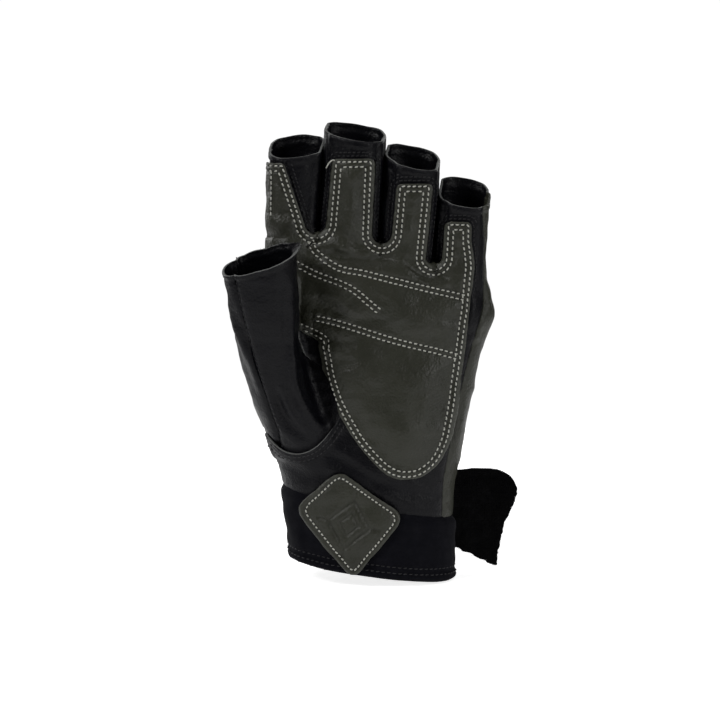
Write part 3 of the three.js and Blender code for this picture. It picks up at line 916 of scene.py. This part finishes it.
def stitches(places, ways, ups, length=1.45, radius=0.34, lift=0.05):
    """A surface of stitches: each at a place, along a way, standing up from the leather."""
    base, faces = cap_stitch()
    made = []
    for place, way, up in zip(places, ways, ups):
        way = unit(way - up * (way @ up))
        side = np.cross(up, way)
        turn, growth = random.normal(0, 0.05, 2)
        way = way + side * (0.12 + turn)
        along = base[:, :1] * way * length * (1 + growth)
        made.append((place + up * lift + along + base[:, 1:2] * side * radius + base[:, 2:3] * up * radius, faces))
    return joined(made)


def front_stitches(tree, lines, pitch=STITCH_PITCH, shift=0.5, **shape):
    """Stitches along front-view lines, laid on a surface."""
    places, ways, ups = [], [], []
    for line in lines:
        for p, w in zip(*resample(np.asarray(line), pitch, shift=shift)):
            here, ahead = (hit(tree, (x, -OUTSIDE, z), (0, 1, 0)) for x, z in (p, p + w * 0.5))
            if here and ahead and np.linalg.norm(ahead[0] - here[0]) <= 3:
                places.append(here[0])
                ways.append(unit(ahead[0] - here[0]))
                ups.append(here[1])
    return stitches(places, ways, ups, **shape)


def cast_stitches(tree, starts, aims, **shape):
    """Stitches along the line where rays, cast from outside the glove, meet a surface."""
    places, ways, ups = [], [], []
    before = None
    for start, aim in zip(starts, aims):
        here = hit(tree, start, aim)
        if here and before and 0.5 < np.linalg.norm(here[0] - before[0]) < 4:
            places.append(here[0])
            ways.append(unit(here[0] - before[0]))
            ups.append(here[1])
        before = here
    return stitches(places, ways, ups, **shape)


def needle_hole_painted_shade(name, tree, lines, pitch):
    """Dark marks in the pits between the stitches, where the thread goes down: sunk capsules of near-black thread,
    painted shade that stands for the shadow in the needle holes.
    """
    trim(name, front_stitches(tree, lines, pitch, shift=0.0, length=0.8, radius=0.34, lift=-0.12))


# ---------------------------------------------------------------- leather panels
def uneven(outline, by):
    """A hand-cut outline: it strays a little from its pattern."""
    at = np.stack([outline[:, 0], outline[:, 0] * 0, outline[:, 1]], 1)
    return outline + by * np.stack([EDGE_WAVES(at), EDGE_WAVES(at + 50)], 1)


def overlay_outline():
    """The overlay's front-view outline."""
    line = []
    corner = 2.5
    for i, (left, right, top) in enumerate(TABS):
        line += list(rounded([[left, top - 8], [left, top], [right, top], [right, top - 8]], corner)[7:21])
        if i < len(NOTCHES):
            x, bottom, radius = NOTCHES[i]
            for angle in np.linspace(math.pi, 2 * math.pi, 12):
                line.append((x + radius * math.cos(angle), bottom + radius + radius * math.sin(angle)))
    line += list(spline([[TABS[-1][1], TABS[-1][2] - 8], *OVERLAY_RIGHT, *OVERLAY_LEFT], 5))
    return uneven(np.array(line, float), 0.16)


OUTLINE = overlay_outline()


def fourchette_field(points):
    """Positive inside the gap outlines between the fingers."""
    return np.maximum.reduce([inside(points[:, [0, 2]], line) for line in FOURCHETTES.values()])


def back_field(points):
    """Positive behind the back seam."""
    return points[:, 1] - across_at(BACK_SEAM, points[:, 2])


def side_field(points):
    """Positive in the side panel: beyond its front edge, or round the corner from it."""
    beyond = points[:, 0] - across_at(SIDE_EDGE, points[:, 2])
    corner = np.minimum(points[:, 0] - 44.5, points[:, 1] + 6) - 9 * (1 - smoothstep(points[:, 2], 88, 116))
    return np.maximum(beyond, corner)


def vent_field(points):
    """Positive in the slot that opens the cuff on the little-finger side."""
    y, z = points[:, 1], points[:, 2]
    half = 7.5 - 2.5 * smoothstep(z, 34, 45)
    return within(half - np.abs(y - 5.5), 45 - z, points[:, 0] - 20)


PANELS = {
    "palm_panel": lambda p: within(-back_field(p), -fourchette_field(p), -side_field(p)),
    "back_panel": back_field,
    "side_panel": lambda p: within(side_field(p), -back_field(p)),
}


def build_panels():
    made = {}
    for name, own in PANELS.items():
        field = lambda p: within(own(p), level(CUFF_TOP, p) + 0.4, -vent_field(p)) - SEAM_GAP
        sheet = cut_sheet(hand_skin, field)
        away, raw = field(sheet[0]), raw_edge(sheet[0])
        made[name] = hemmed(rolled(sheet, field))
        wear = 0.5 * np.clip(1 - raw / 0.9, 0, 1) + 0.12 * bell(away, 1.2)
        piece(name, made[name], "olive_leather" if name == "side_panel" else "black_leather", wear=wear, raw=raw)
    for name, line in FOURCHETTES.items():
        field = lambda p: within(inside(p[:, [0, 2]], line), -back_field(p)) - SEAM_GAP
        sheet = cut_sheet(hand_skin, field, 0.1)
        points = sheet[0]
        raw = raw_edge(points)
        in_front = smoothstep(-normals_of(sheet)[:, 1], 0.35, 0.85)
        sheet = pushed(sheet, -(0.9 * smoothstep(field(points), 0, 1.5) * in_front * (1 - pressed(points))))
        node = "fourchette_" + name
        made[node] = hemmed(rolled(sheet, field, 0.6, 0.8))
        piece(node, made[node], "black_leather", wear=0.5 * np.clip(1 - raw / 0.9, 0, 1), raw=raw)
    return made


def build_thumb():
    """The stall's two halves, on either side of its seam."""
    made = {}
    for name, sign in (("thumb_front_panel", 1), ("thumb_back_panel", -1)):
        field = lambda p: sign * (p[:, 0] - across_at(THUMB_SEAM, p[:, 2])) + 0.1
        sheet = cut_sheet(thumb_skin, field)
        raw = np.maximum(thumb_opening_field(sheet[0]), 0)
        hem = 0.4 * (1 - smoothstep(raw, 1.6, 2.4)) - 0.2 * bell(raw - 2.6, 0.5)
        made[name] = pushed(rolled(sheet, field, 1.3, 1.2), hem, 3)
        piece(name, made[name], "black_leather", THUMB_BEND, wear=0.6 * np.clip(1 - raw / 0.9, 0, 1), raw=raw)
    return made


panels = build_panels()
thumb_sheets = build_thumb()


# ---------------------------------------------------------------- palm overlay
def quilt_lines():
    """The knuckle, the short and the palm seam."""
    return [spline(line, 6) for line in (KNUCKLE_LINE, SHORT_LINE, PALM_LINE)]


def overlay_height(points):
    """How far the overlay's outer face stands off the palm."""
    flat = points[:, [0, 2]]
    edge = np.maximum(inside(flat, OUTLINE), 0)
    knuckle, short, palm = (line_distance(flat, line) for line in quilt_lines())
    free = np.maximum(within(np.abs(edge - EDGE_ROW - ROW_GAP / 2), knuckle, palm, short + 0.6) - ROW_GAP / 2, 0)
    # The pads' rise, and how far from a seam they reach it: above the knuckle line, between the lines, and below.
    upper, lower = (np.interp(flat[:, 0], *np.array(line, float).T) for line in (KNUCKLE_LINE, PALM_LINE))
    crown = np.where(flat[:, 1] > upper, 1.3, np.where(flat[:, 1] > lower, 1.9, 3.0))
    width = np.where(flat[:, 1] > upper, 5.0, np.where(flat[:, 1] > lower, 7.0, 9.0))
    rows = [np.abs(edge - EDGE_ROW), np.abs(edge - EDGE_ROW - ROW_GAP)]
    rows += [np.abs(seam - ROW_GAP / 2) for seam in (knuckle, palm, short)]
    height = 0.9 + OVERLAY + crown * (1 - bell(free, width))
    return height - 0.38 * bell(within(*rows), 0.55) - 0.5 * bell(edge, 0.7)


def build_overlay():
    sheet = subdivided(cut_sheet(hand_skin, lambda p: within(inside(p[:, [0, 2]], OUTLINE), PALM_SIDE - p[:, 1])))
    points = sheet[0]
    height = overlay_height(points)
    wrinkle = (0.08 * FINE(points) + 0.6 * MIDDLING(points)) * smoothstep(height, 1.4, 2.6)
    wrinkle += 0.13 * PUCKER(points) * bell(height - 1.7, 0.7)
    for line, width, depth in OVERLAY_CREASES:
        wrinkle += 2.2 * fold(points[:, [0, 2]], line, 1.35 * width, depth)
    sheet = pushed(sheet, height + wrinkle, 6)
    edge = np.maximum(inside(sheet[0][:, [0, 2]], OUTLINE), 0)
    made = piece("palm_overlay", sheet, "olive_leather", thickness=OVERLAY, wear=0.5 * bell(edge, 0.8), round_by=0.2)
    return tree_of(sheet)


def build_overlay_stitches():
    tree = build_overlay()
    lines = []
    for by in (EDGE_ROW, EDGE_ROW + ROW_GAP):
        row = inset(OUTLINE, by)
        lines += runs(row, (inside(row, OUTLINE) > by - 0.12) & (row[:, 0] > -44), 2.5, 6)
    lines += [parallel(line, by) for line in quilt_lines() for by in (-ROW_GAP / 2, ROW_GAP / 2)]
    lines.append(np.array(INDEX_ROW))
    end = spline(LOOSE_THREAD, 5)
    places = np.stack([end[:, 0], np.interp(np.arange(len(end)), [0, len(end)], [-17.2, -16.2]), end[:, 1]], 1)
    ways, ups = unit(np.gradient(places, axis=0)), [np.array([0, -1.0, 0])] * len(places)
    made = [front_stitches(tree, lines), stitches(places, ways, ups, length=0.8, radius=0.26)]
    trim("overlay_stitching", joined(made), "pale_thread")
    # Painted shade: dark thread sunk in the needle holes stands for the shadow in them.
    needle_hole_painted_shade("overlay_needle_hole_painted_shade", tree, lines, STITCH_PITCH)


def build_border_stitches():
    """Rows of black stitches on the black leather, round the overlay's tabs, the thumb's root and along the seams."""
    tree = tree_of(joined([panels["palm_panel"]] + [panels["fourchette_" + name] for name in FOURCHETTES]))
    lines = []
    for out in (1.1, 2.6):
        row = inset(OUTLINE, -out)
        keep = (inside(row, OUTLINE) < -out + 0.15) & (row[:, 1] > 120) & (row[:, 0] > -34) & (row[:, 0] < 44)
        lines += runs(row, keep, 2, 8)
    trim("border_stitching", front_stitches(tree, lines, **BLACK_SEAM))
    line = spline(THUMB_LIP)
    turn = 1 if parallel(line, 1)[3, 1] < line[3, 1] else -1
    surface = front_stitches(tree, [parallel(line, turn * by) for by in (3.4, 5.4)], **BLACK_SEAM)
    trim("thumb_root_stitching", surface)
    tree = tree_of(thumb_sheets["thumb_front_panel"])
    surface = front_stitches(tree, [spline(THUMB_SEAM)[6:] + [1.3, 0]], pitch=2.2, radius=0.22, length=1.3)
    trim("thumb_seam_stitching", surface, bodies=THUMB_BEND)
    tree = tree_of(panels["back_panel"])
    made = []
    for side, low, high in ((-1, 32, 172), (1, 48, 160)):
        z = np.arange(low, high, 2.0)
        starts = np.stack([z * 0 + OUTSIDE * side, across_at(BACK_SEAM, z) + 1.6, z], 1)
        made.append(cast_stitches(tree, starts, [(-side, 0, 0)] * len(z), radius=0.24, length=1.4))
    trim("back_seam_stitching", joined(made))


# ---------------------------------------------------------------- cuff
def build_cuff():
    cuff_skin = cut_out(hand_skin, lambda p: within(5 - level(CUFF_TOP, p), level(OPENING, p) + 2))
    sheets = {}
    for name, sign in (("cuff_front", -1), ("cuff_back", 1)):
        sides = lambda p: within(0.4 - level(CUFF_TOP, p), level(BINDING_TOP, p) + 1.8, -vent_field(p))
        sheet = cut_sheet(cuff_skin, lambda p: within(sides(p), sign * back_field(p)) - SEAM_GAP)
        top, low = -level(CUFF_TOP, sheet[0]), level(BINDING_TOP, sheet[0])
        puff = -0.5 + 1.5 * smoothstep(top, -0.4, 3) - 0.5 * bell(low - 0.6, 1.1) + 0.2 * SOFT(sheet[0])
        sheets[name] = pushed(sheet, puff)
        piece(name, sheets[name], "neoprene", thickness=NEOPRENE)
    sheet = cut_sheet(cuff_skin, lambda p: within(-level(BINDING_TOP, p), level(OPENING, p), -vent_field(p)))
    up = level(OPENING, sheet[0]) / BINDING_TOP[0]
    sheet = pushed(sheet, 1.3 * np.sqrt(np.clip(1 - (2 * up - 1) ** 2, 0, 1)) + 0.2 - 0.45 * bell(up - 0.62, 0.1))
    piece("cuff_binding", sheet, "neoprene", thickness=BINDING)
    tree = tree_of(joined([sheet, *sheets.values()]))
    angle = np.linspace(0, 2 * math.pi, 90)
    around = np.stack([BODY[0][3] * np.cos(angle), BODY[0][4] * np.sin(angle)], 1)
    around = resample(around, 2.2, closed=True)[0]
    made = []
    for height in (BINDING_TOP[0] - 1.2, BINDING_TOP[0] + 1.3):
        z = height + OPENING[1] * around[:, 0] + OPENING[2] * around[:, 1]
        starts = np.column_stack([around * 2.2, z])
        made.append(cast_stitches(tree, starts, np.column_stack([-around, z * 0]), radius=0.24, length=1.5))
    trim("hem_stitching", joined(made))
    return sheets


def emboss(flat):
    """A plain pressed ornament: two nested lozenges and four short bars."""
    middle = np.array([-9.5, 22.5])
    lean = math.radians(-12)
    turn = np.array([[math.cos(lean), -math.sin(lean)], [math.sin(lean), math.cos(lean)]])
    at = (flat - middle) @ turn
    size = np.abs(at[:, 0]) / 8.5 + np.abs(at[:, 1]) / 10.5
    lines = bell((size - 1) * 7.5, 0.8) + bell((size - 0.45) * 7.5, 0.7)
    for corner in np.array([[0, 13.4], [0, -13.4], [11, 0], [-11, 0]]):
        bar = np.array([[0.0, 0.0], corner / np.linalg.norm(corner) * 2.0]) + corner * 0.92
        lines += bell(line_distance(at, bar), 0.7)
    return -0.75 * np.clip(lines, 0, 1)


def build_patch():
    outline = uneven(rounded(PATCH, 6, 8), 0.25)
    skin = cut_out(hand_skin, lambda p: -p[:, 1])
    sheet = subdivided(cut_sheet(skin, lambda p: np.minimum(inside(p[:, [0, 2]], outline), -p[:, 1])))
    flat = sheet[0][:, [0, 2]]
    edge = np.maximum(inside(flat, outline), 0)
    height = 3.0 - 0.35 * bell(edge - 2.2, 0.6) - 0.5 * bell(edge, 0.7)
    height += 0.45 * smoothstep(edge, 2.6, 6) + 0.3 * SOFT(sheet[0]) + emboss(flat)
    sheet = pushed(sheet, height, 10)
    piece("wrist_patch", sheet, "olive_leather", wear=0.5 * bell(edge, 0.8), round_by=0.2)
    row, tree = inset(outline, 2.2), tree_of(sheet)
    trim("patch_stitching", front_stitches(tree, [row], PATCH_PITCH, length=1.25), "pale_thread")
    # Painted shade: dark thread sunk in the needle holes stands for the shadow in them.
    needle_hole_painted_shade("patch_needle_hole_painted_shade", tree, [row], PATCH_PITCH)


# ---------------------------------------------------------------- closing tab
def build_anchor(cuff_back):
    """The strip on the cuff's back that the tab is sewn to, with a box of stitches."""
    left, right, bottom, top = ANCHOR
    border = lambda p: within(p[:, 0] - left, right - p[:, 0], p[:, 2] - bottom, top - p[:, 2])
    sheet = cut_sheet(cut_out(cuff_back, lambda p: p[:, 1] - 9.5), border)
    away = border(sheet[0])
    sheet = pushed(sheet, 1.5 - 0.5 * bell(away, 0.8) - 0.3 * bell(away - 2.2, 0.6))
    piece("tab_anchor", sheet, "neoprene", thickness=1.4)
    tree = tree_of(sheet)
    box = np.array([[19.2, 11], [19.2, 36.6], [38.6, 36.6], [38.6, 11]], float)
    found = [(hit(tree, (x, 80, z), (0, -1, 0)), np.array([dx, 0, dz]))
             for (x, z), (dx, dz) in zip(*resample(box, 2.2, closed=True))]
    places, ways, ups = zip(*[(spot[0], way, spot[1]) for spot, way in found if spot])
    trim("anchor_stitching", stitches(places, ways, ups, radius=0.24))


def tab_outline():
    """The tab's front-view outline."""
    def bezier(a, b, c, d):
        t = np.linspace(0, 1, 10)[:, None]
        a, b, c, d = (np.array(v, float) for v in (a, b, c, d))
        return (1 - t) ** 3 * a + 3 * t * (1 - t) ** 2 * b + 3 * t * t * (1 - t) * c + t**3 * d

    line = [[31.5, 39.2], [45, 40.2]]
    line += bezier((52, 40), (60, 39.6), (64.6, 34), (63.4, 28.5)).tolist()
    line += bezier((63.4, 28.5), (62, 22), (56.5, 18), (55, -3.6)).tolist()[1:]
    line += [[31.5, 8]]
    return np.array(line)


def tab_curl(x, z):
    """How far the open tab's cloth waves out of its plane."""
    curl = 0.9 * np.sin((x - 38) / 9) * smoothstep(x, 38, 46) - 1.6 * smoothstep(x, 52, 64) * smoothstep(z, 0, 40)
    return curl + 0.5 * SOFT(np.stack([x, x * 0, z], 1)) * smoothstep(x, 38, 46)


def build_tab():
    """The tab's two layers."""
    outline = tab_outline()
    xs, zs = np.arange(30, 67, 0.6), np.arange(-6, 43, 0.6)
    grid = np.array([[x, 0, z] for z in zs for x in xs])
    n = len(xs)
    faces = [(j * n + i, j * n + i + 1, (j + 1) * n + i + 1, (j + 1) * n + i)
             for j in range(len(zs) - 1) for i in range(n - 1)]
    made = []
    for name, depth, thickness, slot, ragged in (
        ("tab_fastener", 11.0, 0.8, "hook_cloth", 0.35), ("tab_backing", 12.1, 0.9, "neoprene", 0.1),
    ):
        sheet = cut_sheet((grid, faces), lambda p: inside(p[:, [0, 2]], outline) + ragged * FINE(p * 2.5))
        points = sheet[0]
        x, z = points[:, 0], points[:, 2]
        points = np.stack([x, depth + tab_curl(x, z) + 0.12 * PUCKER(points), z], 1)
        made.append(piece(name, (points, sheet[1]), slot, TAB_BEND, thickness=thickness))
    return made


def fibres(places, ways, length, radius):
    """Thin bent hairs, each starting at a place along a way."""
    made = []
    for place, way in zip(places, unit(ways)):
        long = length * random.uniform(0.5, 1.3)
        bend = random.normal(0, 0.35, 3) * long
        side = unit(np.cross(way, random.normal(size=3)))
        other = np.cross(way, side)
        points = []
        for t in (0, 0.35, 0.7, 1):
            centre = place + way * long * t + bend * t * t
            thin = radius * (1 - 0.7 * t)
            points += [centre + side * thin, centre + (-0.5 * side + 0.87 * other) * thin,
                       centre + (-0.5 * side - 0.87 * other) * thin]
        made.append((points, [*tube_faces(4, 3), (2, 1, 0), (9, 10, 11)]))
    return joined(made)


def build_fibres(fastener, backing):
    """The frayed edges: round the tab, over its hook cloth, and at the thumb's opening."""
    outline = tab_outline()
    at, way = resample(outline, 0.28, closed=True)
    away = np.stack([way[:, 1], -way[:, 0]], 1)
    away *= 1 if inside((at + away)[len(at) // 2:][:1], outline)[0] < 0 else -1
    shown = at[:, 0] > 37
    (x, z), away = at[shown].T, away[shown]
    places = np.stack([x, 11.4 + tab_curl(x, z), z], 1)
    ways = np.stack([away[:, 0], random.normal(0, 0.7, len(x)), away[:, 1]], 1)
    fringe = trim("tab_fringe", fibres(places, ways, 0.9, 0.05), "hook_cloth", TAB_BEND)
    count = 1500
    spot = np.stack([random.uniform(39, 63, count), random.uniform(-2, 39, count)], 1)
    x, z = spot[inside(spot, outline) > 0.4].T
    places = np.stack([x, 10.9 + tab_curl(x, z), z], 1)
    ways = np.array([0, -1, 0]) + random.normal(0, 0.8, places.shape)
    nap = trim("tab_nap", fibres(places, ways, 0.8, 0.06), "hook_cloth", TAB_BEND)
    # Both layers of the tab were cut flat to its outline.
    rim = border_points(thumb_skin)
    rim = rim[(thumb_opening_field(rim) < 0.6) & (rim[:, 0] > -47) & (rim[:, 1] > -34)]
    rim = np.repeat(rim, 3, axis=0)[random.permutation(3 * len(rim))[:110]]
    ways = np.array([0, 0.1, 1]) + random.normal(0, 0.5, rim.shape)
    trim("thumb_fray", fibres(rim - [0, 0.6, 0.3], ways, 1.5, 0.12), bodies=THUMB_BEND)


def build_pads():
    """The foam inserts fill the room between the palm and the overlay."""
    for node, corners in PADS.items():
        outline = rounded(corners, 1.5)
        sheet = cut_sheet(hand_skin, lambda p: np.minimum(inside(p[:, [0, 2]], outline), PALM_SIDE - p[:, 1]))
        top = np.maximum(overlay_height(sheet[0]) - OVERLAY - 1.0, 0.5)
        made = piece(node, pushed(sheet, top, 6), "foam", thickness=np.maximum(top - 0.25, 0.2))


build_overlay_stitches()
build_border_stitches()
cuff_sheets = build_cuff()
build_patch()
build_anchor(cuff_sheets["cuff_back"])
build_pads()
build_fibres(*build_tab())


# ---------------------------------------------------------------- stage
def build_stage():
    """A white floor and studio."""
    size = 0.42  # half the floor's width, in metres
    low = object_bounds()[0][2]
    mesh = bpy.data.meshes.new("floor")
    corners = [(x * size, y * size, low) for x, y in ((-1, -1), (1, -1), (1, 1), (-1, 1))]
    mesh.from_pydata(corners, [], [(0, 1, 2, 3)])
    floor = link("floor", mesh)
    paper = Nodes(bpy.data.materials.new("floor_paper"))
    floor.data.materials.append(paper.shaded({
        "Base Color": paper.mixed(paper.noise(300, 3, 0.5)["Fac"], (0.93, 0.93, 0.93), (0.95, 0.95, 0.95)),
        "Roughness": 0.9,
        "Emission Color": (1, 1, 1, 1),
        "Emission Strength": paper.seen(0.3, 0.8),
    }))
    # The camera sees a white studio; the glove is lit by a dimmer one, so that the black leather stays dark.
    world = bpy.context.scene.world = bpy.data.worlds.new("studio")
    studio = Nodes(world)
    studio.feed(studio.tree.nodes["Background"], {"Color": (1, 1, 1, 1), "Strength": studio.seen(0.06, 1.02)})


def area_light(name, place, target, size, power):
    data = bpy.data.lights.new(name, "AREA")
    data.shape = "RECTANGLE"
    data.size, data.size_y = size
    data.energy = power
    made = link(name, data)
    made.location = place
    made.rotation_euler = (Vector(target) - Vector(place)).to_track_quat("-Z", "Y").to_euler()


def build_camera():
    """The photo's view; frame_width is what the picture shows at the target, in metres."""
    elevation, distance, frame_width = math.radians(7), 0.9, 0.3096
    target = Vector((-0.0052, 0, 0.0896))
    data = bpy.data.cameras.new("camera")
    data.sensor_width = 36
    data.lens = 36 * distance / frame_width
    data.clip_start, data.clip_end = 0.01, 50
    made = link("camera", data)
    made.location = target + Vector((0, -math.cos(elevation), math.sin(elevation))) * distance
    made.rotation_euler = (target - made.location).to_track_quat("-Z", "Y").to_euler()
    bpy.context.scene.camera = made


build_stage()
middle = (0, 0, 0.09)
area_light("key", (-0.75, -0.55, 0.75), middle, (0.3, 0.3), 5.5)
area_light("fill", (0.85, -0.6, 0.4), middle, (0.2, 0.5), 3.2)
area_light("top", (0, 0.1, 1.2), (0, 0.1, 0), (0.9, 0.9), 3.2)
area_light("back_left", (0.8, 1.0, 0.6), middle, (0.5, 0.5), 5.0)
area_light("back_right", (-0.9, 0.8, 0.4), middle, (0.4, 0.4), 3.0)
build_camera()
bpy.context.scene.view_settings.view_transform = "Standard"
bpy.context.scene.view_settings.look = "None"
